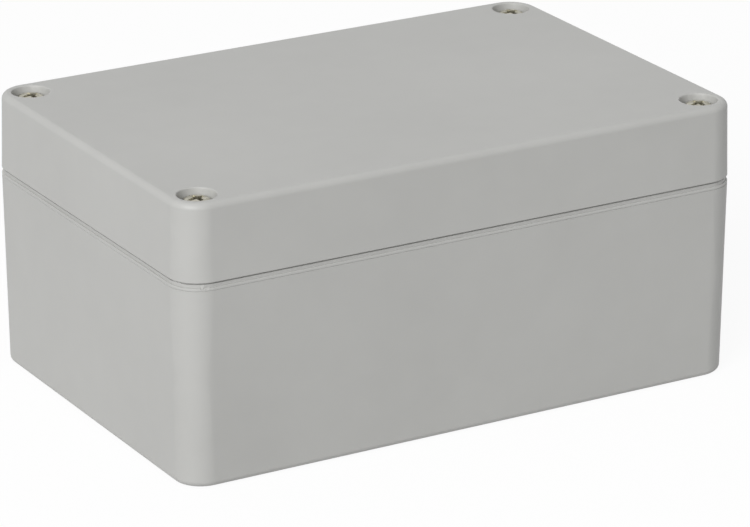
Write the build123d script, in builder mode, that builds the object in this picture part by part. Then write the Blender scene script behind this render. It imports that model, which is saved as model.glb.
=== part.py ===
from build123d import *
import os

# Screw-lid enclosure in ABS with a foam gasket, for electronics.
# The origin is the centre of the base's underside, +X runs along the long side and +Z is up.
# All sizes are in millimetres and all angles in degrees.

# Outside, at the parting plane
length = 120.0
width = 80.0
base_height = 40.0
lid_height = 15.0
corner_radius = 6.2
draft = 0.8
lid_top_round = 1.9
base_bottom_round = 1.2
lid_seam_round = 0.6
base_seam_round = 0.45
rim_band = 1.2
rim_step = 0.15

# Seal line, measured from the outer face and from the screw axes
seal_land = 1.6
groove_width = 2.2
groove_depth = 3.8
groove_rib = 1.0
step_reach = 13.5
step_depth = 4.8
side_bend = 4.2
step_bend = 3.6
end_bend = 4.6
tightest_bend = 0.8

# Gasket in the lid's groove, and the tongue of the base that meets it
gasket_thickness = 3.0
gasket_clearance = 0.1
gasket_round = 0.3
tongue_width = 1.0

# Shells
base_wall = 3.4
base_floor = 3.0
floor_round = 1.2
lid_roof = 3.1
roof_round = 0.5

# Corner pockets of the lid, and the mounting wells of the base below them
boss_radius = 5.0
pocket_wall = 1.4
pocket_ridge = 0.9
pocket_roof = 3.0
pocket_corner = 0.5
well_wall = 2.0
well_floor = 4.0
well_draft = 0.5
mount_reach = 9.0
mount_hole_radius = 2.15

# Lid screws, M3 pan head, whose reach is measured down from the parting plane
screw_inset = 6.0
thread_radius = 1.5
screw_reach = 8.1
head_radius = 2.8
head_height = 2.4
head_round = 1.0
head_sink = 0.7
tip_chamfer = 0.4
cross_span = 3.4
cross_slot = 0.8
cross_depth = 1.5
cross_draft = 10.0

# How far each screw was turned in, seen from above
screw_turns = {"front_left": 9, "front_right": 12, "back_right": 5, "back_left": 8}

# Holes for the lid screws
recess_radius = 3.6
recess_draft = 8.0
recess_round = 0.3
neck_clearance = 0.3
neck_length = 1.6
boss_bore_radius = 2.2

# Brass inserts in the base's corner columns
insert_radius = 2.3
insert_length = 6.0
insert_sink = 0.2
insert_groove = 0.3
insert_groove_width = 1.2
insert_chamfer = 0.3
thread_clearance = 0.05
tip_room = 1.6
tip_clearance = 0.4

# Board posts on the base's floor
post_pitch_x = 92.0
post_pitch_y = 40.0
post_radius = 3.2
post_height = 5.0
post_foot_round = 0.8
post_pilot_radius = 1.25
post_pilot_depth = 6.0

# Places worked out from the sizes
screw_x = length / 2 - screw_inset
screw_y = width / 2 - screw_inset
step_x = screw_x - step_reach
step_y = screw_y - step_depth
total_height = base_height + lid_height
seat_height = total_height - head_sink - head_height
screw_length = seat_height - base_height + screw_reach
tongue_height = groove_depth - gasket_thickness
corners = {
    "front_left": (-screw_x, -screw_y),
    "front_right": (screw_x, -screw_y),
    "back_right": (screw_x, screw_y),
    "back_left": (-screw_x, screw_y),
}


def seal_outline(inset):
    """The closed line round the cavity that steps inside each corner, moved in by inset."""
    side_x, side_y = length / 2 - seal_land - inset, width / 2 - seal_land - inset
    leg_x, run_y = step_x - inset, step_y - inset
    quarter = [(side_x, run_y), (leg_x, run_y), (leg_x, side_y)]
    bends = [
        max(end_bend - inset, tightest_bend),
        step_bend + inset,
        max(side_bend - inset, tightest_bend),
    ]
    points = (
        quarter
        + [(-x, y) for x, y in reversed(quarter)]
        + [(-x, -y) for x, y in quarter]
        + [(x, -y) for x, y in reversed(quarter)]
    )
    with BuildSketch() as outline:
        with BuildLine():
            FilletPolyline(points, radius=2 * (bends + bends[::-1]), close=True)
        make_face()
    return outline.sketch


def pocket_outline(outer_wall):
    """The four spaces between the seal line, the screw bosses and the outer walls."""
    edge_y = width / 2 - outer_wall
    boss_side = screw_x - boss_radius
    run_y = step_y + pocket_ridge
    with BuildSketch() as pockets:
        Rectangle(2 * screw_x, 2 * edge_y)
        add(seal_outline(-pocket_ridge), mode=Mode.SUBTRACT)
        with Locations((screw_x, 0), (-screw_x, 0)):
            Rectangle(2 * boss_radius, 2 * screw_y, mode=Mode.SUBTRACT)
        with GridLocations(2 * screw_x, 2 * screw_y, 2, 2):
            Circle(boss_radius, mode=Mode.SUBTRACT)
        on_wall = pockets.vertices().filter_by(lambda v: abs(abs(v.Y) - edge_y) < 0.01)
        at_foot = pockets.vertices().filter_by(
            lambda v: abs(abs(v.X) - boss_side) < 0.01 and abs(abs(v.Y) - run_y) < 0.01
        )
        fillet(on_wall + at_foot, radius=pocket_corner)
    return pockets.sketch


def ring_outline(outer_inset, inner_inset):
    """A band that follows the seal line between two insets."""
    with BuildSketch() as ring:
        add(seal_outline(outer_inset))
        add(seal_outline(inner_inset), mode=Mode.SUBTRACT)
    return ring.sketch


# Base: a drafted shell with screw columns and mounting wells outside its seal line
band_bottom = base_height - rim_band
with BuildPart() as base:
    with BuildSketch(Plane.XY.offset(band_bottom)):
        RectangleRounded(length, width, corner_radius)
    extrude(amount=-band_bottom, taper=draft)
    fillet(base.faces().sort_by(Axis.Z)[0].edges(), radius=base_bottom_round)
    chamfer(base.faces().sort_by(Axis.Z)[-1].edges(), length=rim_step)
    with BuildSketch(Plane.XY.offset(band_bottom)):
        RectangleRounded(length - 2 * rim_step, width - 2 * rim_step, corner_radius - rim_step)
    extrude(amount=rim_band)
    fillet(base.faces().sort_by(Axis.Z)[-1].edges(), radius=base_seam_round)

    # Cavity, whose wall steps inside each corner
    with BuildSketch(Plane.XY.offset(base_height)):
        add(seal_outline(base_wall - seal_land))
    extrude(amount=base_floor - base_height, taper=draft, mode=Mode.SUBTRACT)
    cavity_floor = base.faces().filter_by_position(Axis.Z, base_floor - 0.01, base_floor + 0.01)
    fillet(cavity_floor.edges(), radius=floor_round)

    # Wells down to the mounting holes, reached with the lid off
    with BuildSketch(Plane.XY.offset(base_height)):
        add(pocket_outline(well_wall))
    extrude(amount=well_floor - base_height, taper=well_draft, mode=Mode.SUBTRACT)
    with BuildSketch(Plane.XY):
        with GridLocations(2 * (screw_x - mount_reach), 2 * screw_y, 2, 2):
            Circle(mount_hole_radius)
    extrude(amount=well_floor, mode=Mode.SUBTRACT)

    # Bores for the brass inserts, with room below them for the screws' tips
    with BuildSketch(Plane.XY.offset(base_height)):
        with GridLocations(2 * screw_x, 2 * screw_y, 2, 2):
            Circle(insert_radius)
    extrude(amount=-insert_sink - insert_length, mode=Mode.SUBTRACT)
    with BuildSketch(Plane.XY.offset(base_height)):
        with GridLocations(2 * screw_x, 2 * screw_y, 2, 2):
            Circle(thread_radius + tip_clearance)
    extrude(amount=-screw_reach - tip_room, mode=Mode.SUBTRACT)

    # Board posts
    with BuildSketch(Plane.XY.offset(base_floor)):
        with GridLocations(post_pitch_x, post_pitch_y, 2, 2):
            Circle(post_radius)
    extrude(amount=post_height, taper=draft)
    post_feet = base.edges().filter_by(GeomType.CIRCLE).filter_by(
        lambda e: abs(e.radius - post_radius) < 0.01 and abs(e.arc_center.Z - base_floor) < 0.01
    )
    fillet(post_feet, radius=post_foot_round)
    with BuildSketch(Plane.XY.offset(base_floor + post_height)):
        with GridLocations(post_pitch_x, post_pitch_y, 2, 2):
            Circle(post_pilot_radius)
    extrude(amount=-post_pilot_depth, mode=Mode.SUBTRACT)

    # Tongue that meets the gasket all the way round
    tongue_inset = (groove_width - tongue_width) / 2
    with BuildSketch(Plane.XY.offset(base_height)):
        add(ring_outline(tongue_inset, tongue_inset + tongue_width))
    extrude(amount=tongue_height)
base.part.label = "base"

# Lid: a shallow drafted cap with the gasket groove, pockets and screw bosses in its underside
with BuildPart() as lid:
    with BuildSketch(Plane.XY.offset(base_height)):
        RectangleRounded(length, width, corner_radius)
    extrude(amount=lid_height, taper=draft)
    fillet(lid.faces().sort_by(Axis.Z)[-1].edges(), radius=lid_top_round)
    fillet(lid.faces().sort_by(Axis.Z)[0].edges(), radius=lid_seam_round)

    # Cavity inside the rib
    with BuildSketch(Plane.XY.offset(base_height)):
        add(seal_outline(groove_width + groove_rib))
    extrude(amount=lid_height - lid_roof, taper=draft, mode=Mode.SUBTRACT)
    roof_height = total_height - lid_roof
    cavity_roof = lid.faces().filter_by_position(Axis.Z, roof_height - 0.01, roof_height + 0.01)
    fillet(cavity_roof.edges(), radius=roof_round)

    # Groove for the gasket
    with BuildSketch(Plane.XY.offset(base_height)):
        add(ring_outline(0, groove_width))
    extrude(amount=groove_depth, mode=Mode.SUBTRACT)

    # Cored pockets beside the screw bosses
    with BuildSketch(Plane.XY.offset(base_height)):
        add(pocket_outline(pocket_wall))
    extrude(amount=lid_height - pocket_roof, taper=draft, mode=Mode.SUBTRACT)

    # Screw recesses, necks and bores
    with BuildSketch(Plane.XY.offset(total_height)):
        with GridLocations(2 * screw_x, 2 * screw_y, 2, 2):
            Circle(recess_radius)
    extrude(amount=seat_height - total_height, taper=recess_draft, mode=Mode.SUBTRACT)
    recess_rims = lid.edges().filter_by(GeomType.CIRCLE).filter_by(
        lambda e: abs(e.radius - recess_radius) < 0.01 and abs(e.arc_center.Z - total_height) < 0.01
    )
    fillet(recess_rims, radius=recess_round)
    with BuildSketch(Plane.XY.offset(base_height)):
        with GridLocations(2 * screw_x, 2 * screw_y, 2, 2):
            Circle(thread_radius + neck_clearance)
    extrude(amount=seat_height - base_height, mode=Mode.SUBTRACT)
    with BuildSketch(Plane.XY.offset(base_height)):
        with GridLocations(2 * screw_x, 2 * screw_y, 2, 2):
            Circle(boss_bore_radius)
    extrude(amount=seat_height - neck_length - base_height, mode=Mode.SUBTRACT)
lid.part.label = "lid"

# Gasket: one closed foam strip on the groove's floor
gasket_bottom = base_height + tongue_height
with BuildPart() as gasket:
    with BuildSketch(Plane.XY.offset(gasket_bottom)):
        add(ring_outline(gasket_clearance, groove_width - gasket_clearance))
    extrude(amount=gasket_thickness)
    fillet(gasket.faces().sort_by(Axis.Z)[0].edges(), radius=gasket_round)
gasket.part.label = "gasket"

# Lid screw, standing on the plane of its head's seat
with BuildPart() as lid_screw:
    with BuildSketch(Plane.XZ):
        with BuildLine():
            Polyline(
                (0, -screw_length),
                (thread_radius - tip_chamfer, -screw_length),
                (thread_radius, tip_chamfer - screw_length),
                (thread_radius, 0),
                (head_radius, 0),
                (head_radius, head_height - head_round),
            )
            RadiusArc(
                (head_radius, head_height - head_round),
                (head_radius - head_round, head_height),
                -head_round,
            )
            Polyline((head_radius - head_round, head_height), (0, head_height), (0, -screw_length))
        make_face()
    revolve(axis=Axis.Z)
    with BuildSketch(Plane.XY.offset(head_height)):
        Rectangle(cross_span, cross_slot)
        Rectangle(cross_slot, cross_span)
    extrude(amount=-cross_depth, taper=cross_draft, mode=Mode.SUBTRACT)

# Threaded insert, with its top on the plane
bore_radius = thread_radius + thread_clearance
with BuildPart() as brass_insert:
    with BuildSketch(Plane.XY):
        Circle(insert_radius)
        Circle(bore_radius, mode=Mode.SUBTRACT)
    extrude(amount=-insert_length)
    chamfer(
        brass_insert.edges().filter_by(GeomType.CIRCLE).group_by(Axis.Z)[-1], length=insert_chamfer
    )
    with BuildSketch(Plane.XY.offset(-(insert_length - insert_groove_width) / 2)):
        Circle(insert_radius)
        Circle(insert_radius - insert_groove, mode=Mode.SUBTRACT)
    extrude(amount=-insert_groove_width, mode=Mode.SUBTRACT)

pieces = {"base": base.part, "lid": lid.part, "gasket": gasket.part}
for corner, (x, y) in corners.items():
    with BuildPart() as placed_screw:
        with Locations(Location((x, y, seat_height), (0, 0, screw_turns[corner]))):
            add(lid_screw.part)
    with BuildPart() as placed_insert:
        with Locations((x, y, base_height - insert_sink)):
            add(brass_insert.part)
    pieces["lid_screw_" + corner] = placed_screw.part
    pieces["insert_" + corner] = placed_insert.part

os.makedirs("parts", exist_ok=True)
for name, piece in pieces.items():
    piece.label = name
    export_step(piece, "parts/" + name + ".step")
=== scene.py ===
"""Looks of a screw-lid ABS enclosure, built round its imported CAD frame. Lengths are in metres, +Z is up."""

import math

import bmesh
import bpy
from bpy.props import FloatProperty, FloatVectorProperty, IntProperty, PointerProperty
from mathutils import Euler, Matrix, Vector, noise


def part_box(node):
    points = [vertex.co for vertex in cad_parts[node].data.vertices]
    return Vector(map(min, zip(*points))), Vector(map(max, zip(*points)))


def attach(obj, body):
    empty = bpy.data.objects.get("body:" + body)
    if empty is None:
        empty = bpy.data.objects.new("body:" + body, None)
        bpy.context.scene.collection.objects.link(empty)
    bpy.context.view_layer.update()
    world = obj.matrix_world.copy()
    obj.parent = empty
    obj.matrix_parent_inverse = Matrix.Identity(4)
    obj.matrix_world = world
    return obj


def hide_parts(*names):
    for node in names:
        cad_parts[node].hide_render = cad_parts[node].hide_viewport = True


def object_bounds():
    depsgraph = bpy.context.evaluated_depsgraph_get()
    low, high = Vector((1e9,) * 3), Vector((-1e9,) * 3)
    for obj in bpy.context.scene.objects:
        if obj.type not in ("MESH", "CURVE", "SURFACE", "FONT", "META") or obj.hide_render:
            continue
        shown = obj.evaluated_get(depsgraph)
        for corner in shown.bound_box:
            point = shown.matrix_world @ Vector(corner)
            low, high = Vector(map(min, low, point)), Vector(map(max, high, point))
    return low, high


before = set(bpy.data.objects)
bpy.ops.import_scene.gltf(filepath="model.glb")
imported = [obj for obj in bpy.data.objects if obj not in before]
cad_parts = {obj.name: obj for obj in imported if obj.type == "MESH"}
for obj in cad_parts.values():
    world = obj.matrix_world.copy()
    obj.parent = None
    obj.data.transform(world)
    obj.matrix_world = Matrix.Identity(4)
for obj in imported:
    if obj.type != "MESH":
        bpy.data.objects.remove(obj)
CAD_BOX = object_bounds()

bl_info = {
    "name": "Sealed Enclosure",
    "version": (1, 0, 0),
    "blender": (4, 5, 0),
    "location": "3D View > Sidebar > Enclosure",
    "description": "Finishes a screw-lid ABS enclosure with its gasket, screws, inserts and stage",
    "category": "Add Mesh",
}

MM = 0.001
SCREW_HEAD_HEIGHT = 2.4 * MM
WHITE = (1.0, 1.0, 1.0, 1.0)
CORNERS = ("front_left", "front_right", "back_right", "back_left")
CAMERA_AIM = Vector((0.85 * MM, -2.87 * MM, 21.47 * MM))
FLOOR_GAP = 0.05 * MM

# Edges of the shells as the frame has them
FRAME_DRAFT = math.radians(0.8)
FRAME_SEAM_ROUND = 0.6 * MM
FRAME_TOP_ROUND = 1.9 * MM
FRAME_FOOT_ROUND = 1.2 * MM
FRAME_RIM_BAND = 1.2 * MM
FRAME_RIM_STEP = 0.15 * MM
FRAME_RIM_ROUND = 0.45 * MM
FRAME_RECESS_RADII = (3.1 * MM, 4.0 * MM)

# How the shells' outer skins are carried to their finer edges
EDGE_STEPS = 24
LIP_STEPS = 3
SKIN_DEPTH = 2.4 * MM
ON_PROFILE = 0.006 * MM
WELD = 0.0005 * MM


def length(name, description, default):
    """A size that a user may change, in metres."""
    return FloatProperty(
        name=name, description=description, default=default, unit="LENGTH", precision=5
    )


def colour(name, description, default):
    """A linear colour that a user may change."""
    return FloatVectorProperty(
        name=name, description=description, default=default, subtype="COLOR", min=0.0, max=1.0
    )


def factor(name, description, default):
    """A share from 0 to 1 that a user may change."""
    return FloatProperty(
        name=name, description=description, default=default, subtype="FACTOR", min=0.0, max=1.0
    )


def angle(name, description, degrees):
    """An angle that a user may change, given in degrees."""
    return FloatProperty(
        name=name, description=description, default=math.radians(degrees), subtype="ANGLE"
    )


def strength(name, description, default):
    """A lamp's power in watts that a user may change."""
    return FloatProperty(name=name, description=description, default=default, min=0.0)


class PlasticSettings(bpy.types.PropertyGroup):
    """The moulded ABS of both shells."""

    tone: colour("Tone", "Mean colour of the moulded plastic", (0.462, 0.462, 0.447))
    drift: factor("Drift", "How far the tone drifts over the shells", 0.035)
    satin: factor("Satin", "Roughness of the outside", 0.48)
    polish: factor("Polish", "Roughness of the polished inside", 0.16)
    skin: length("Skin", "How deep below the outer faces the inside begins", 0.0013)
    corner: length("Corner", "Radius of the shells' upright corners", 0.0062)
    lid_draft: angle("Lid draft", "Lean of the lid's outer faces", 1.5)
    seam_round: length("Seam round", "Radius of the lid's lower edge", 0.00015)
    top_round: length("Top round", "Radius of the lid's top edge", 0.0013)
    recess_spread: length("Recess spread", "Added to the frame's radius of the screw recesses", 0.0001)
    groove_height: length("Groove height", "Height of the shadow groove under the lid", 0.00095)
    groove_depth: length("Groove depth", "Depth of the shadow groove under the lid", 0.00035)
    lip_height: length("Lip height", "Height of the lip below the shadow groove", 0.00055)
    lip_round: length("Lip round", "Radius of the lip's upper edge", 0.0002)
    notch_depth: length("Notch depth", "Depth of the fine line below the lip", 0.00013)
    notch_height: length("Notch height", "Height of the fine line below the lip", 0.00016)
    slot_depth: length("Slot depth", "How far the slot between the shells goes in", 0.0006)
    slot_height: length("Slot height", "Height of the slot between the shells", 0.00033)
    grain: length("Grain", "Size of the eroded mould's grain", 0.00035)
    grain_depth: length("Grain depth", "Height of the mould's grain", 0.000004)


class GasketSettings(bpy.types.PropertyGroup):
    """The foam strip in the lid's groove."""

    tone: colour("Tone", "Mean colour of the foam", (0.50, 0.475, 0.40))
    # Painted shade: the darker colour laid on the foam's pores only
    shade: colour("Shade", "Colour of the foam's pores and folds", (0.27, 0.25, 0.20))
    pore: length("Pore", "Size of the foam's cells", 0.00022)
    width: length("Width", "Width of the strip", 0.002)
    step_reach: length("Step reach", "From a screw's axis to the leg of the step", 0.0136)
    step_depth: length("Step depth", "From a screw's axis to the inner run of the step", 0.0049)
    side_bend: length("Side bend", "Radius where the outer edge leaves the long side", 0.0041)
    step_bend: length("Step bend", "Radius of the outer edge's inner turn", 0.0037)
    end_bend: length("End bend", "Radius where the outer edge meets the short side", 0.0045)
    edge_round: length("Edge round", "Rounding of the strip's lower edges", 0.00035)
    swell: length("Swell", "How far the foam's face rises and falls", 0.00012)
    crease: length("Crease", "Depth of the folds at the tight bends", 0.00022)


class ScrewSettings(bpy.types.PropertyGroup):
    """The four lid screws."""

    tone: colour("Tone", "Plated steel", (0.45, 0.435, 0.365))
    stain: colour("Stain", "Yellowish film over the plating", (0.19, 0.175, 0.12))
    # Painted glints: bright specks that stand in for highlights on the plating
    glint_tone: colour("Scuff", "Bright metal where the plating is rubbed", (0.82, 0.79, 0.68))
    # Painted shade: the dark colour laid down in the cross recess
    recess_shade: colour("Grime", "What lies down in the cross recess", (0.10, 0.09, 0.065))
    roughness: factor("Roughness", "Mean roughness of the plating", 0.27)
    pitch: length("Pitch", "Distance between the thread's turns", 0.0005)
    thread_radius: length("Thread radius", "Radius over the thread's crests", 0.0015)
    thread_depth: length("Thread depth", "From crest to root", 0.0003)
    head_round: length("Head round", "Radius of the head's shoulder", 0.001)
    crown: length("Crown", "How far the middle of the head stands above its shoulder", 0.00012)
    cross_span: length("Cross span", "Width across the cross recess", 0.0034)
    cross_slot: length("Cross slot", "Width of one wing of the recess", 0.0008)
    cross_depth: length("Cross depth", "Depth of the recess", 0.0015)


class InsertSettings(bpy.types.PropertyGroup):
    """The four brass inserts in the base's corner columns."""

    tone: colour("Tone", "Turned brass", (0.73, 0.53, 0.22))
    roughness: factor("Roughness", "Mean roughness of the brass", 0.3)
    pitch: length("Pitch", "Distance between the thread's turns", 0.0005)
    bore_radius: length("Bore radius", "Radius over the inner thread's crests", 0.00155)
    thread_depth: length("Thread depth", "From crest to root", 0.00025)
    knurl_depth: length("Knurl depth", "Depth of the knurled bands", 0.00015)
    knurl_count: IntProperty(name="Knurls", description="Ridges round a band", default=32, min=8)


class StageSettings(bpy.types.PropertyGroup):
    """Floor, lamps and camera."""

    floor_tone: colour("Floor", "Colour of the light that the floor throws back", (0.6, 0.6, 0.6))
    paper_tone: colour("Paper", "Colour of the floor as it is seen", (0.99, 0.99, 0.99))
    floor_size: length("Floor size", "Side of the square floor", 6.0)
    floor_glow: factor("Floor glow", "Share of plain white in the floor as it is seen", 0.92)
    sky: factor("Sky", "Strength of the even light from all round", 0.34)
    key_power: strength("Key", "Power of the large lamp at the left front", 49.0)
    key_size: length("Key size", "Side of the large lamp", 1.4)
    key_azimuth: angle("Key azimuth", "Direction of the large lamp round the object, from the front", -52.5)
    key_elevation: angle("Key elevation", "Height of the large lamp above the horizon", 32.0)
    top_power: strength("Top", "Power of the lamp overhead", 6.2)
    top_size: length("Top size", "Side of the lamp overhead", 1.8)
    top_azimuth: angle("Top azimuth", "Direction of the lamp overhead, from the front", 160.0)
    top_elevation: angle("Top elevation", "Height of the lamp overhead above the horizon", 78.0)
    lamp_distance: length("Lamp distance", "From the object to both lamps", 2.4)
    azimuth: angle("Azimuth", "Camera's direction round the object, from the front", -30.03)
    elevation: angle("Elevation", "Camera's height above the horizon", 20.417)
    distance: length("Distance", "From the camera to the point that it looks at", 0.848)
    lens: FloatProperty(name="Lens", description="Focal length in mm on a 36 mm sensor", default=210.7)


# Shader expressions


class Value:
    """A number that varies over a surface. Arithmetic on it adds Math nodes."""

    def __init__(self, finish, socket):
        self.finish = finish
        self.socket = socket

    def math(self, operation, first, second):
        return self.finish.node("ShaderNodeMath", {"operation": operation}, {0: first, 1: second})

    def __add__(self, other):
        return self.math("ADD", self, other)

    def __radd__(self, other):
        return self.math("ADD", other, self)

    def __sub__(self, other):
        return self.math("SUBTRACT", self, other)

    def __rsub__(self, other):
        return self.math("SUBTRACT", other, self)

    def __mul__(self, other):
        return self.math("MULTIPLY", self, other)

    def __rmul__(self, other):
        return self.math("MULTIPLY", other, self)

    def __abs__(self):
        return self.math("ABSOLUTE", self, 0.0)

    def root(self):
        return self.math("SQRT", self, 0.0)

    def or_else(self, other):
        """The larger of two values, which for masks is either of them."""
        return self.math("MAXIMUM", self, other)


class Finish:
    """A node material. Every node but Math comes from node()."""

    def __init__(self, name, owner=None):
        self.owner = owner or bpy.data.materials.new(name)
        self.owner.use_nodes = True
        self.tree = self.owner.node_tree
        self.tree.nodes.clear()

    def node(self, kind, settings=None, sockets=None, output=0):
        """Adds a node with its settings and inputs, and returns one of its outputs."""
        made = self.tree.nodes.new(kind)
        for name, setting in (settings or {}).items():
            setattr(made, name, setting)
        for name, value in (sockets or {}).items():
            if isinstance(value, Value):
                self.tree.links.new(value.socket, made.inputs[name])
            else:
                made.inputs[name].default_value = value
        return Value(self, made.outputs[output]) if made.outputs else None

    def place(self):
        """The point on the piece, in the frame at rest, in metres."""
        return self.node("ShaderNodeTexCoord", output=3)

    def axes(self):
        """That point's x, y and z, each as a value."""
        sockets = {"Vector": self.place()}
        return [self.node("ShaderNodeSeparateXYZ", {}, sockets, output=i) for i in range(3)]

    def cloud(self, size, detail=2.0, roughness=0.5):
        """Soft noise from 0 to 1, whose features are about size metres wide."""
        return self.node(
            "ShaderNodeTexNoise",
            sockets={"Vector": self.place(), "Scale": 1.0 / size, "Detail": detail, "Roughness": roughness},
        )

    def cells(self, size):
        """Distance to the nearest of many scattered points, about size metres apart."""
        return self.node("ShaderNodeTexVoronoi", sockets={"Vector": self.place(), "Scale": 1.0 / size})

    def mix(self, share, first, second):
        """A colour between two others."""
        a, b = (tone if isinstance(tone, Value) else (*tone, 1.0) for tone in (first, second))
        return self.node("ShaderNodeMix", {"data_type": "RGBA"}, {0: share, 6: a, 7: b}, output=2)

    def level(self, value, low, high):
        """How far a value has come from low to high, held between 0 and 1."""
        return self.node("ShaderNodeMapRange", {}, {"Value": value, "From Min": low, "From Max": high})

    def bump(self, height, depth):
        """A normal for height times depth metres."""
        return self.node("ShaderNodeBump", {}, {"Height": height, "Distance": depth, "Strength": 1.0})

    def surface(self, **sockets):
        """Ends the material in a Principled shader, whose sockets are named with _ for each space."""
        named = {name.replace("_", " "): value for name, value in sockets.items()}
        shader = self.node("ShaderNodeBsdfPrincipled", {}, named)
        self.node("ShaderNodeOutputMaterial", {}, {"Surface": shader})
        return self.owner


# Materials


def inside_mask(finish, settings):
    """1 on the polished faces inside the shells and 0 on their satin outside, with a soft edge."""
    low, high = CAD_BOX
    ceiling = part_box("lid_screw_front_left")[1].z - SCREW_HEAD_HEIGHT
    x, y, z = finish.axes()
    blur = 0.3 * MM
    foot = low.z + 0.5 * MM
    past_x = (abs(x) - (high.x - settings.corner)).or_else(0.0)
    past_y = (abs(y) - (high.y - settings.corner)).or_else(0.0)
    rim = settings.corner - settings.skin
    within = finish.level((past_x * past_x + past_y * past_y).root(), rim, rim - blur)
    above = finish.level(z, foot, foot + blur)
    below = finish.level(z, ceiling + blur, ceiling)
    return within * above * below


def abs_plastic(settings):
    """Moulded grey ABS: satin outside, polished inside, drifting slightly in tone and gloss."""
    finish = Finish("abs_grey")
    drift = finish.cloud(45 * MM, detail=3.0)
    mottle = finish.cloud(6 * MM)
    share = finish.level(0.7 * drift + 0.3 * mottle, 0.3, 0.7)
    dark = tuple(c * (1.0 - settings.drift) for c in settings.tone)
    light = tuple(min(1.0, c * (1.0 + settings.drift)) for c in settings.tone)
    grain = finish.cloud(settings.grain, detail=3.0, roughness=0.6)
    inside = inside_mask(finish, settings)
    gloss = settings.satin + (settings.polish - settings.satin) * inside
    return finish.surface(
        Base_Color=finish.mix(share, dark, light),
        Roughness=gloss - 0.025 + 0.05 * finish.cloud(12 * MM),
        IOR=1.53,
        Normal=finish.bump(grain * (1.0 - 0.8 * inside), settings.grain_depth),
    )


def foam(settings):
    """Beige closed-cell foam, matt, with fine pores darkened by painted shade, and darker folds."""
    finish = Finish("gasket_foam")
    pores = finish.cells(settings.pore)
    blotches = finish.cloud(2.2 * MM, detail=4.0, roughness=0.65)
    pore_shade = finish.level(pores, 0.42, 0.1)
    darker = tuple(0.9 * c for c in settings.tone)
    tone = finish.mix(finish.level(blotches, 0.35, 0.7), darker, settings.tone)
    return finish.surface(
        # Painted shade darkens the open pores
        Base_Color=finish.mix(0.45 * pore_shade, tone, settings.shade),
        Roughness=0.92,
        Normal=finish.bump(0.6 * blotches + 0.4 * pores, 0.09 * MM),
    )


def recess_mask(finish, settings):
    """1 down in the screws' cross recesses, where shade is painted, and 0 on the rest of the metal, with a
    soft edge.
    """
    low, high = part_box("lid_screw_back_right")
    axis = (low + high) / 2
    x, y, z = finish.axes()
    blur = 0.15 * MM
    aside, along = abs(x) - axis.x, abs(y) - axis.y
    reach, floor = settings.cross_span / 2, high.z - settings.cross_depth - blur
    near = finish.level((aside * aside + along * along).root(), reach + blur, reach)
    under_rim = finish.level(z, high.z - blur, high.z - 4 * blur)
    return near * under_rim * finish.level(z, floor - blur, floor)


def plated_steel(settings):
    """Dulled plated steel with a yellowish film, painted glints as bright specks, and painted shade in the
    cross recess.
    """
    finish = Finish("screw_metal")
    film = finish.level(finish.cloud(1.1 * MM, detail=4.0, roughness=0.6), 0.42, 0.68)
    # Fine noise whose high points carry painted glints; it also varies the roughness and bumps the plating
    glint_specks = finish.cloud(0.3 * MM, detail=3.0, roughness=0.7)
    plating = finish.mix(0.75 * film, settings.tone, settings.stain)
    plating_with_glints = finish.mix(0.6 * finish.level(glint_specks, 0.56, 0.66), plating, settings.glint_tone)
    recess = recess_mask(finish, settings)
    return finish.surface(
        # Painted shade darkens the cross recess
        Base_Color=finish.mix(0.85 * recess, plating_with_glints, settings.recess_shade),
        Metallic=1.0,
        Roughness=settings.roughness + 0.16 * glint_specks + 0.25 * recess,
        Normal=finish.bump(glint_specks, 0.012 * MM),
    )


def turned_brass(settings):
    """Turned brass, slightly dulled."""
    finish = Finish("insert_brass")
    dull = finish.cloud(0.9 * MM, detail=4.0, roughness=0.6)
    tool_marks = finish.cloud(0.12 * MM, detail=1.0)
    darker = tuple(0.78 * c for c in settings.tone)
    return finish.surface(
        Base_Color=finish.mix(dull, darker, settings.tone),
        Metallic=1.0,
        Roughness=settings.roughness + 0.15 * dull,
        Normal=finish.bump(tool_marks, 0.006 * MM),
    )


# Meshes


def new_piece(name, mesh, material, body):
    """Links a mesh as a shown piece that rides on a body."""
    piece = bpy.data.objects.new(name, mesh)
    bpy.context.scene.collection.objects.link(piece)
    mesh.materials.clear()
    mesh.materials.append(material)
    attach(piece, body)
    return piece


def wrap_grid(rows, closed_rows, closed_columns):
    """Quad faces for a grid of points given as rows of equal length."""
    across = len(rows[0])
    faces = []
    for i in range(len(rows) if closed_rows else len(rows) - 1):
        for j in range(across if closed_columns else across - 1):
            k, m = (i + 1) % len(rows), (j + 1) % across
            faces.append((i * across + j, i * across + m, k * across + m, k * across + j))
    return faces


def smooth_mesh(name, points, faces):
    """A mesh with smooth shading and outward normals."""
    mesh = bpy.data.meshes.new(name)
    mesh.from_pydata(points, [], faces)
    mesh.update()
    shape = bmesh.new()
    shape.from_mesh(mesh)
    bmesh.ops.recalc_face_normals(shape, faces=shape.faces)
    shape.to_mesh(mesh)
    shape.free()
    mesh.shade_smooth()
    return mesh


def joined(name, base, other, operation):
    """The mesh of base with other added or cut away."""
    first = bpy.data.objects.new(name, base)
    second = bpy.data.objects.new(name + "_tool", other)
    for item in (first, second):
        bpy.context.scene.collection.objects.link(item)
    modifier = first.modifiers.new("cut", "BOOLEAN")
    modifier.operation = operation
    modifier.solver = "EXACT"
    modifier.object = second
    depsgraph = bpy.context.evaluated_depsgraph_get()
    result = bpy.data.meshes.new_from_object(first.evaluated_get(depsgraph))
    result.name = name
    for item in (first, second):
        bpy.data.objects.remove(item)
    return result


def sharpen(mesh, degrees):
    """Smooth shading, apart from edges sharper than an angle."""
    mesh.shade_smooth()
    shape = bmesh.new()
    shape.from_mesh(mesh)
    for edge in shape.edges:
        edge.smooth = len(edge.link_faces) == 2 and edge.calc_face_angle(0.0) < math.radians(degrees)
    shape.to_mesh(mesh)
    shape.free()


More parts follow.
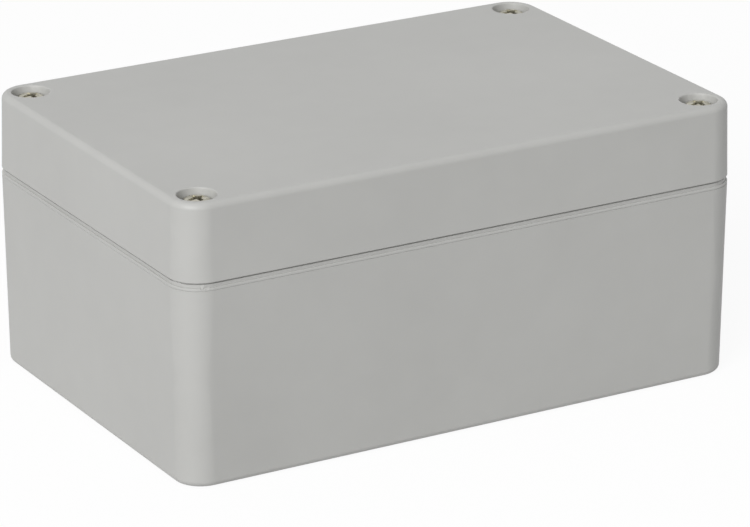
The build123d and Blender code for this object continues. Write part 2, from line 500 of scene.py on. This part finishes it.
def full_turn(count):
    """Evenly spread angles once round."""
    return [2 * math.pi * j / count for j in range(count)]


def ring(turns, radii, z):
    """Points round the axis at one height, with a radius for each turn."""
    return [(radius * math.cos(turn), radius * math.sin(turn), z) for turn, radius in zip(turns, radii)]


def turned(profile, segments):
    """A closed body turned from (radius, height) points, whose first and last lie on the axis."""
    sides = profile[1:-1]
    points = [(0.0, 0.0, profile[0][1])]
    for radius, height in sides:
        points += ring(full_turn(segments), [radius] * segments, height)
    points.append((0.0, 0.0, profile[-1][1]))
    last = len(points) - 1
    faces = [(0, 1 + (j + 1) % segments, 1 + j) for j in range(segments)]
    for i in range(len(sides) - 1):
        for j in range(segments):
            a, b = 1 + i * segments, 1 + (i + 1) * segments
            m = (j + 1) % segments
            faces.append((a + j, a + m, b + m, b + j))
    top = 1 + (len(sides) - 1) * segments
    faces += [(top + j, top + (j + 1) % segments, last) for j in range(segments)]
    return points, faces


def capped_tube(rows):
    """A closed body from rings of equal length, with a flat face at either end."""
    across = len(rows[0])
    points = [point for row in rows for point in row]
    faces = wrap_grid(rows, False, True)
    faces.append(tuple(range(across))[::-1])
    faces.append(tuple(range(len(points) - across, len(points))))
    return points, faces


# Shells


def from_outline(point, corner):
    """How far a point lies in from the shells' full outline, and the way straight out of it."""
    # The frame's meshed corners fall a hair short of its full sides
    across, along = (round(side, 4) - corner for side in CAD_BOX[1].xy)
    out = Vector((max(abs(point.x) - across, 0.0), max(abs(point.y) - along, 0.0)))
    inset = corner - out.length
    out.normalize()
    return inset, Vector((math.copysign(out.x, point.x), math.copysign(out.y, point.y), 0.0))


def edge_arc(centre, radius, start, end, count):
    """A rounded edge as (inset, height) points, between two angles of its outward normal."""
    turns = [start + (end - start) * i / count for i in range(count + 1)]
    return [centre + radius * Vector((-math.cos(turn), math.sin(turn))) for turn in turns]


def lid_profile(draft, seam_round, top_round):
    """The lid's outer face from its lower edge to its top: two rounded edges and the wall between."""
    low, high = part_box("lid")
    points = []
    for radius, height, start, end in (
        (seam_round, low.z + seam_round, -math.pi / 2, draft),
        (top_round, high.z - top_round, draft, math.pi / 2),
    ):
        inset = (height + radius * math.sin(draft) - low.z) * math.tan(draft)
        centre = Vector((inset + radius * math.cos(draft), height))
        points += edge_arc(centre, radius, start, end, EDGE_STEPS)
    return points


def rim_steps(mesh, corner, centre):
    """Into how many steps the frame's mesh divides the rounded rim of the base."""
    near, past, same_turn = 0.005 * MM, 0.001 * MM, math.radians(1)
    turns = []
    for vertex in mesh.vertices:
        away = Vector((from_outline(vertex.co, corner)[0], vertex.co.z)) - centre
        if abs(away.length - FRAME_RIM_ROUND) < near and away.x < past and away.y > -past:
            turns.append(math.atan2(away.y, -away.x))
    turns.sort()
    return sum(second - first > same_turn for first, second in zip(turns, turns[1:]))


def base_profiles(mesh, settings):
    """The base's outer face above its foot, in the frame and as moulded.

    As moulded it is a wall, a fine line, a lip, a ledge, a shadow groove and the slot under the lid.
    """
    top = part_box("lid")[0].z
    band = top - FRAME_RIM_BAND
    lean = math.tan(FRAME_DRAFT)
    foot = Vector(((band - FRAME_FOOT_ROUND) * lean, FRAME_FOOT_ROUND))
    centre = Vector((FRAME_RIM_STEP + FRAME_RIM_ROUND, top - FRAME_RIM_ROUND))
    steps = rim_steps(mesh, settings.corner, centre)
    below = Vector((FRAME_RIM_STEP * lean, band - FRAME_RIM_STEP))
    old = [foot, below, Vector((FRAME_RIM_STEP, band))]
    old += edge_arc(centre, FRAME_RIM_ROUND, 0.0, math.pi / 2, steps)

    ledge = top - settings.groove_height
    lip = ledge - settings.lip_height
    slot = top - settings.slot_height
    half_notch = settings.notch_height / 2
    new = [foot, Vector((0.0, lip - half_notch)), Vector((settings.notch_depth, lip))]
    new.append(Vector((0.0, lip + half_notch)))
    lip_centre = Vector((settings.lip_round, ledge - settings.lip_round))
    new += edge_arc(lip_centre, settings.lip_round, 0.0, math.pi / 2, LIP_STEPS)
    new += [Vector((settings.groove_depth, ledge)), Vector((settings.groove_depth, slot))]
    # The slot takes the points of the frame's rim that are left over
    rest = max(1, len(old) - len(new) - 1)
    run = (settings.slot_depth - settings.groove_depth) / rest
    new += [Vector((settings.groove_depth + run * (i + 1), slot)) for i in range(rest)]
    new.append(Vector((settings.slot_depth, top)))
    return old, new


def carried(place, old, new):
    """Where a place on the old profile lies on the new one, or None if it isn't on the old one."""
    slack = 0.02
    for first, second, new_first, new_second in zip(old, old[1:], new, new[1:]):
        run = second - first
        share = (place - first).dot(run) / run.length_squared
        if -slack <= share <= 1.0 + slack and (first + share * run - place).length < ON_PROFILE:
            return new_first.lerp(new_second, min(1.0, max(0.0, share)))
    return None


def widened(point, screw, spread):
    """A point of a screw recess moved out from the screw's axis, and any other point as it is."""
    low, high = screw
    axis = (low + high) / 2
    under_seat = high.z - SCREW_HEAD_HEIGHT - 0.05 * MM
    inner, outer = FRAME_RECESS_RADII
    away = Vector((abs(point.x) - axis.x, abs(point.y) - axis.y))
    if point.z < under_seat or not inner < away.length < outer:
        return point
    away = away.normalized() * spread
    side_x, side_y = math.copysign(1.0, point.x), math.copysign(1.0, point.y)
    return point + Vector((side_x * away.x, side_y * away.y, 0.0))


def shell_mesh(node, old, new, settings):
    """A shell's mesh with its outer face carried from the old profile to the new, and shaded anew."""
    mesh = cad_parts[node].data.copy()
    mesh.name = node + "_shell"
    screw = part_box("lid_screw_back_right")
    places = {}
    for vertex in mesh.vertices:
        inset, out = from_outline(vertex.co, settings.corner)
        key = (round(inset, 7), round(vertex.co.z, 7))
        if key not in places:
            places[key] = carried(Vector(key), old, new) if inset < SKIN_DEPTH else None
        place = places[key]
        if place:
            level = Vector((vertex.co.x, vertex.co.y, place.y))
            vertex.co = level + out * (inset - place.x)
        elif node == "lid":
            vertex.co = widened(vertex.co.copy(), screw, settings.recess_spread)
    mesh.attributes.remove(mesh.attributes["custom_normal"])
    shape = bmesh.new()
    shape.from_mesh(mesh)
    bmesh.ops.remove_doubles(shape, verts=shape.verts, dist=WELD)
    shape.to_mesh(mesh)
    shape.free()
    sharpen(mesh, degrees=30)
    return mesh


# Gasket


def bend_points(corner, before, after, radius, count):
    """Points along the arc that rounds a square corner, from the run before it to the run after."""
    toward_before = (before - corner).normalized()
    toward_after = (after - corner).normalized()
    centre = corner + radius * (toward_before + toward_after)
    points = []
    for i in range(count + 1):
        turn = math.pi / 2 * i / count
        points.append(centre - radius * (math.cos(turn) * toward_after + math.sin(turn) * toward_before))
    return points


def seal_line(settings, inset):
    """The corners and bends of the stepped line round the cavity, inset from the strip's outer edge."""
    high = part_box("gasket")[1]
    screw = sum(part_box("lid_screw_back_right"), Vector()) / 2
    side_x, side_y = high.x - inset, high.y - inset
    leg_x = screw.x - settings.step_reach - inset
    run_y = screw.y - settings.step_depth - inset
    quarter = [(side_x, run_y), (leg_x, run_y), (leg_x, side_y)]
    bends = [settings.end_bend - inset, settings.step_bend + inset, settings.side_bend - inset]
    corners, radii = [], []
    for sx, sy in ((1, 1), (-1, 1), (-1, -1), (1, -1)):
        order = slice(None, None, sx * sy)
        corners += [Vector((sx * x, sy * y)) for x, y in quarter[order]]
        radii += bends[order]
    return corners, radii


def sampled_line(corners, radii, bend_count, run_counts):
    """Points along a line with rounded corners, each with its share of its bend, or None on a run."""
    total = len(corners)
    arcs = [
        bend_points(corner, corners[i - 1], corners[(i + 1) % total], radius, bend_count)
        for i, (corner, radius) in enumerate(zip(corners, radii))
    ]
    line = []
    for i, arc in enumerate(arcs):
        line += [(point, k / bend_count) for k, point in enumerate(arc)]
        end, start = arc[-1], arcs[(i + 1) % total][0]
        for k in range(1, run_counts[i]):
            line.append((end.lerp(start, k / run_counts[i]), None))
    return line


def gasket_mesh(settings):
    """The foam strip: a rounded section carried round the seal line, with folds at the bends."""
    low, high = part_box("gasket")
    corners = seal_line(settings, 0.0)[0]
    spacing, bend_count = 1.1 * MM, 36
    run_counts = []
    for corner, after in zip(corners, corners[1:] + corners[:1]):
        run_counts.append(max(2, round((after - corner).length / spacing)))
    rows = []
    for across, z in section_points(settings.width, low.z, high.z, settings.edge_round):
        open_face = z < low.z + settings.edge_round / 2
        row = []
        for point, share in sampled_line(*seal_line(settings, across), bend_count, run_counts):
            relief = foam_relief(settings, point, share, across / settings.width) if open_face else 0.0
            row.append((point.x, point.y, z + relief))
        rows.append(row)
    faces = wrap_grid(rows, True, True)
    return smooth_mesh("gasket_strip", [p for row in rows for p in row], faces)


def section_points(width, low, high, rounding):
    """The strip's section as (across, height) points: square in the groove, rounded on its open face."""
    round_steps, face_steps = 4, 8
    half = [(0.0, high), (0.0, (low + high) / 2)]
    for i in range(round_steps + 1):
        turn = math.pi / 2 * i / round_steps
        half.append((rounding * (1 - math.cos(turn)), low + rounding * (1 - math.sin(turn))))
    face = [(width * k / face_steps, low) for k in range(2, face_steps - 1)]
    return half + face + [(width - across, z) for across, z in reversed(half)]


def foam_relief(settings, point, share, across):
    """How far the open face of the foam rises above its flat level at one point."""
    wave = 4 * MM
    swell = settings.swell * (1.0 + noise.noise(Vector((point.x, point.y, 0.0)) / wave))
    if share is None:
        return swell
    slant, fold_width = 0.05, 0.035
    fold = 0.0
    for place in (0.22, 0.5, 0.8):
        fold += math.exp(-(((share - place - slant * (across - 0.5)) / fold_width) ** 2))
    return swell + settings.crease * fold * (0.4 + 0.6 * across)


# Screws and inserts


def thread_height(turn, height, pitch):
    """The thread's profile from 0 at the root to 1 at the crest, with flats at both."""
    flat = 0.2
    phase = (height / pitch - turn / (2 * math.pi)) % 1.0
    rise = abs(2.0 * phase - 1.0)
    return min(1.0, max(0.0, (1.0 + 2 * flat) * rise - flat))


def screw_mesh(settings):
    """A pan-head screw with a cross recess and a cut thread, standing on the plane of its seat."""
    low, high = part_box("lid_screw_front_left")
    head_radius = (high.x - low.x) / 2
    seat = high.z - SCREW_HEAD_HEIGHT
    tip = low.z - seat
    head = smooth_mesh("screw_head", *turned(head_profile(settings, head_radius), 64))
    head = joined("screw_head", head, cross_cutter(settings, SCREW_HEAD_HEIGHT), "DIFFERENCE")
    shank = smooth_mesh("screw_shank", *threaded_shank(settings, tip))
    screw = joined("lid_screw", head, shank, "UNION")
    sharpen(screw, degrees=38)
    return screw, seat


def head_profile(settings, head_radius):
    """The head's section as (radius, height) points, from a stub of the shank up to the crown."""
    root = settings.thread_radius - settings.thread_depth
    stub, neck, burr = 0.8 * MM, 0.15 * MM, 0.12 * MM
    round_steps, crown_steps = 10, 8
    head_round = settings.head_round
    flat = head_radius - head_round
    shoulder = SCREW_HEAD_HEIGHT - settings.crown - head_round
    profile = [(0.0, -stub), (root, -stub), (root, -neck), (root + neck, 0.0)]
    profile += [(head_radius - burr, 0.0), (head_radius, burr), (head_radius, shoulder)]
    for i in range(1, round_steps + 1):
        turn = math.pi / 2 * i / round_steps
        profile.append((flat + head_round * math.cos(turn), shoulder + head_round * math.sin(turn)))
    for i in range(1, crown_steps):
        radius = flat * (1 - i / crown_steps)
        profile.append((radius, SCREW_HEAD_HEIGHT - settings.crown * (radius / flat) ** 2))
    profile.append((0.0, SCREW_HEAD_HEIGHT))
    return profile


def threaded_shank(settings, tip):
    """The shank from its tip to just inside the head's stub, with the thread fading out at both ends."""
    turns = full_turn(36)
    rings_per_pitch = 8
    top = -0.5 * MM
    fade_at_tip, fade_at_top = 0.6 * MM, 0.8 * MM
    point_depth, point_length = 0.3 * MM, 0.4 * MM
    root = settings.thread_radius - settings.thread_depth
    count = round((top - tip) / (settings.pitch / rings_per_pitch))
    rows = []
    for i in range(count + 1):
        z = tip + (top - tip) * i / count
        depth = settings.thread_depth * min(1.0, (z - tip) / fade_at_tip, (top - z) / fade_at_top)
        core = root - point_depth * max(0.0, 1.0 - (z - tip) / point_length)
        radii = [core + depth * thread_height(turn, z, settings.pitch) for turn in turns]
        rows.append(ring(turns, radii, z))
    return capped_tube(rows)


def cross_cutter(settings, top):
    """A cross with tapered wings, pointed towards the bottom of the recess."""
    half, wing = settings.cross_span / 2, settings.cross_slot / 2
    web = wing + 0.12 * MM
    above = 0.4 * MM
    depth = settings.cross_depth
    quarter = [(half, wing), (web, web), (wing, half)]
    outline = []
    for _ in range(4):
        outline += quarter
        quarter = [(-y, x) for x, y in quarter]
    rows = []
    for drop, reach, thickness in (
        (above, 1.1, 1.1),
        (0.0, 1.0, 1.0),
        (-0.75 * depth, 0.6, 0.72),
        (-depth, 0.12, 0.2),
    ):
        row = []
        for x, y in outline:
            scale_x = reach if abs(x) > abs(y) else thickness
            scale_y = reach if abs(y) > abs(x) else thickness
            row.append((x * scale_x, y * scale_y, top + drop))
        rows.append(row)
    return smooth_mesh("cross_cutter", *capped_tube(rows))


def insert_mesh(settings):
    """A threaded insert with two knurled bands, a waist between them and chamfered ends."""
    low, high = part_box("insert_front_left")
    outer = (high.x - low.x) / 2
    height = high.z - low.z
    rings_per_ridge = 3
    turns = full_turn(settings.knurl_count * rings_per_ridge)
    rows = knurled_rows(settings, turns, outer, height) + bore_rows(settings, turns, height)
    faces = wrap_grid(rows, True, True)
    mesh = smooth_mesh("threaded_insert", [point for row in rows for point in row], faces)
    sharpen(mesh, degrees=50)
    return mesh, high.z


def knurled_rows(settings, turns, outer, height):
    """Rings round the insert's outside, from its lower end to its top."""
    count, band, slant_per_metre = 40, 0.36, 60.0
    chamfer, waist_depth = 0.3 * MM, 0.3 * MM
    rows = []
    for i in range(count + 1):
        share = i / count
        z = -height * (1 - share)
        edge = min(1.0, min(share, 1 - share) * height / chamfer)
        body = outer - chamfer * (1 - edge)
        slant = slant_per_metre if share < 0.5 else -slant_per_metre
        in_waist = band < share < 1 - band
        radii = []
        for turn in turns:
            ridge = 0.5 + 0.5 * math.cos(settings.knurl_count * (turn + slant * z))
            cut = waist_depth if in_waist else settings.knurl_depth * (1 - ridge) * edge
            radii.append(body - cut)
        rows.append(ring(turns, radii, z))
    return rows


def bore_rows(settings, turns, height):
    """Rings round the insert's threaded bore, from its top to its lower end."""
    count = 96
    lead_in, fade = 0.25 * MM, 0.4 * MM
    rows = []
    for i in range(count + 1):
        z = -height * i / count
        depth_in = min(-z, height + z)
        crest = settings.bore_radius + max(0.0, lead_in - depth_in)
        depth = settings.thread_depth * min(1.0, max(0.0, depth_in / fade - 0.4))
        radii = [crest + depth * (1 - thread_height(turn, z, settings.pitch)) for turn in turns]
        rows.append(ring(turns, radii, z))
    return rows


def seat_copies(mesh, height, prefix, body_of, material, turns):
    """One piece for each corner, standing where its CAD node is, which it replaces."""
    for corner in CORNERS:
        node = prefix + corner
        low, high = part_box(node)
        centre = (low + high) / 2
        turn = Euler((0.0, 0.0, math.radians(turns.get(corner, 0.0))))
        copy = mesh.copy()
        for vertex in copy.vertices:
            vertex.co.rotate(turn)
            vertex.co += Vector((centre.x, centre.y, height))
        piece = new_piece(node + "_detail", copy, material, body_of(corner))
        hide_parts(node)


# Operators


class ENCLOSURE_OT_shells(bpy.types.Operator):
    """Mould the base and the lid with their fine edges and satin finish"""

    bl_idname = "enclosure.shells"
    bl_label = "Mould Shells"

    def execute(self, context):
        settings = context.scene.enclosure_plastic
        material = abs_plastic(settings)
        profiles = {
            "base": base_profiles(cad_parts["base"].data, settings),
            "lid": (
                lid_profile(FRAME_DRAFT, FRAME_SEAM_ROUND, FRAME_TOP_ROUND),
                lid_profile(settings.lid_draft, settings.seam_round, settings.top_round),
            ),
        }
        for name, (old, new) in profiles.items():
            mesh = shell_mesh(name, old, new, settings)
            shell = new_piece(name + "_shell", mesh, material, name)
            normals = shell.modifiers.new("normals", "WEIGHTED_NORMAL")
            normals.keep_sharp = True
            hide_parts(name)
        return {"FINISHED"}


class ENCLOSURE_OT_gasket(bpy.types.Operator):
    """Lay the foam strip into the lid's groove"""

    bl_idname = "enclosure.gasket"
    bl_label = "Lay Gasket"

    def execute(self, context):
        settings = context.scene.enclosure_gasket
        strip = new_piece("gasket_strip", gasket_mesh(settings), foam(settings), "lid")
        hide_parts("gasket")
        return {"FINISHED"}


class ENCLOSURE_OT_screws(bpy.types.Operator):
    """Drive the four lid screws"""

    bl_idname = "enclosure.screws"
    bl_label = "Drive Lid Screws"

    def execute(self, context):
        settings = context.scene.enclosure_screws
        mesh, seat = screw_mesh(settings)
        material = plated_steel(settings)
        turns = {"front_left": 9, "front_right": 12, "back_right": 5, "back_left": 8}
        seat_copies(
            mesh, seat, "lid_screw_", lambda corner: "screw_" + corner, material, turns
        )
        return {"FINISHED"}


class ENCLOSURE_OT_inserts(bpy.types.Operator):
    """Set the four brass inserts into the base's columns"""

    bl_idname = "enclosure.inserts"
    bl_label = "Set Inserts"

    def execute(self, context):
        settings = context.scene.enclosure_inserts
        mesh, top = insert_mesh(settings)
        material = turned_brass(settings)
        seat_copies(mesh, top, "insert_", lambda corner: "base", material, {})
        return {"FINISHED"}


class ENCLOSURE_OT_stage(bpy.types.Operator):
    """Set up the floor, the soft light and the camera"""

    bl_idname = "enclosure.stage"
    bl_label = "Set Stage"

    def execute(self, context):
        settings = context.scene.enclosure_stage
        make_floor(settings)
        make_light(settings)
        make_camera(settings)
        return {"FINISHED"}


# Stage


def seen_directly(finish):
    """1 for what is seen straight on, in a reflection or through glass, and 0 for light that spreads."""
    camera, glossy, clear = (
        finish.node("ShaderNodeLightPath", output=name)
        for name in ("Is Camera Ray", "Is Glossy Ray", "Is Transmission Ray")
    )
    return camera.or_else(glossy).or_else(clear)


def floor_finish(settings):
    """A pale floor that keeps soft shadows and looks white, but throws little light back."""
    finish = Finish("floor")
    shade = finish.node("ShaderNodeBsdfDiffuse", {}, {"Color": (*settings.floor_tone, 1.0)})
    paper = finish.node("ShaderNodeBsdfDiffuse", {}, {"Color": (*settings.paper_tone, 1.0)})
    white = finish.node("ShaderNodeEmission", {}, {"Strength": 1.0})
    shown = finish.node("ShaderNodeMixShader", {}, {0: settings.floor_glow, 1: paper, 2: white})
    surface = finish.node("ShaderNodeMixShader", {}, {0: seen_directly(finish), 1: shade, 2: shown})
    finish.node("ShaderNodeOutputMaterial", {}, {"Surface": surface})
    return finish.owner


def make_floor(settings):
    """A wide square just below the object's underside."""
    half = settings.floor_size / 2
    outline = [(-half, -half, 0), (half, -half, 0), (half, half, 0), (-half, half, 0)]
    mesh = bpy.data.meshes.new("floor")
    mesh.from_pydata(outline, [], [(0, 1, 2, 3)])
    floor = bpy.data.objects.new("floor", mesh)
    floor.location.z = CAD_BOX[0].z - FLOOR_GAP
    mesh.materials.append(floor_finish(settings))
    bpy.context.scene.collection.objects.link(floor)


def sight_line(azimuth, elevation):
    """The direction from the object to what stands round it, where azimuth 0 is in front of it."""
    level = math.cos(elevation)
    return Vector((math.sin(azimuth) * level, -math.cos(azimuth) * level, math.sin(elevation)))


def area_lamp(name, power, size, direction, distance):
    """A square soft lamp that aims at the object."""
    data = bpy.data.lights.new(name, "AREA")
    data.shape = "SQUARE"
    data.size = size
    data.energy = power
    lamp = bpy.data.objects.new(name, data)
    lamp.location = (CAD_BOX[0] + CAD_BOX[1]) / 2 + direction * distance
    lamp.rotation_mode = "QUATERNION"
    lamp.rotation_quaternion = direction.to_track_quat("Z", "Y")
    bpy.context.scene.collection.objects.link(lamp)


def make_light(settings):
    """Even light from all round that is seen as white, and two large lamps."""
    finish = Finish("studio", bpy.data.worlds.new("studio"))
    even = finish.node("ShaderNodeBackground", {}, {"Color": WHITE, "Strength": settings.sky})
    white = finish.node("ShaderNodeBackground", {}, {"Color": WHITE, "Strength": 1.0})
    surface = finish.node("ShaderNodeMixShader", {}, {0: seen_directly(finish), 1: even, 2: white})
    finish.node("ShaderNodeOutputWorld", {}, {"Surface": surface})
    bpy.context.scene.world = finish.owner
    key = sight_line(settings.key_azimuth, settings.key_elevation)
    overhead = sight_line(settings.top_azimuth, settings.top_elevation)
    area_lamp("key", settings.key_power, settings.key_size, key, settings.lamp_distance)
    area_lamp("top", settings.top_power, settings.top_size, overhead, settings.lamp_distance)


def make_camera(settings):
    """The photograph's view of the object."""
    data = bpy.data.cameras.new("camera")
    data.sensor_width = 36.0
    data.lens = settings.lens
    data.clip_start, data.clip_end = 0.01, 20.0
    camera = bpy.data.objects.new("camera", data)
    back = sight_line(settings.azimuth, settings.elevation)
    camera.location = CAMERA_AIM + back * settings.distance
    camera.rotation_mode = "QUATERNION"
    camera.rotation_quaternion = (-back).to_track_quat("-Z", "Y")
    bpy.context.scene.collection.objects.link(camera)
    bpy.context.scene.camera = camera


class ENCLOSURE_PT_panel(bpy.types.Panel):
    """Lists the enclosure's operators in the sidebar"""

    bl_idname = "ENCLOSURE_PT_panel"
    bl_label = "Enclosure"
    bl_space_type = "VIEW_3D"
    bl_region_type = "UI"
    bl_category = "Enclosure"

    def draw(self, context):
        for operator in OPERATORS:
            self.layout.operator(operator.bl_idname)


GROUPS = {
    "enclosure_plastic": PlasticSettings,
    "enclosure_gasket": GasketSettings,
    "enclosure_screws": ScrewSettings,
    "enclosure_inserts": InsertSettings,
    "enclosure_stage": StageSettings,
}
OPERATORS = (
    ENCLOSURE_OT_shells,
    ENCLOSURE_OT_gasket,
    ENCLOSURE_OT_screws,
    ENCLOSURE_OT_inserts,
    ENCLOSURE_OT_stage,
)


def register():
    """Registers the settings, the operators and the panel, and gives each scene the settings."""
    for item in (*GROUPS.values(), *OPERATORS, ENCLOSURE_PT_panel):
        bpy.utils.register_class(item)
    for name, group in GROUPS.items():
        setattr(bpy.types.Scene, name, PointerProperty(type=group))


def unregister():
    """Takes back what register() did, in the opposite order."""
    for name in GROUPS:
        delattr(bpy.types.Scene, name)
    for item in (ENCLOSURE_PT_panel, *reversed(OPERATORS), *reversed(GROUPS.values())):
        bpy.utils.unregister_class(item)


def main():
    """Makes everything."""
    register()
    bpy.context.scene.view_settings.view_transform = "Standard"
    bpy.ops.enclosure.stage()
    bpy.ops.enclosure.shells()
    bpy.ops.enclosure.gasket()
    bpy.ops.enclosure.screws()
    bpy.ops.enclosure.inserts()


if __name__ == "__main__":
    main()
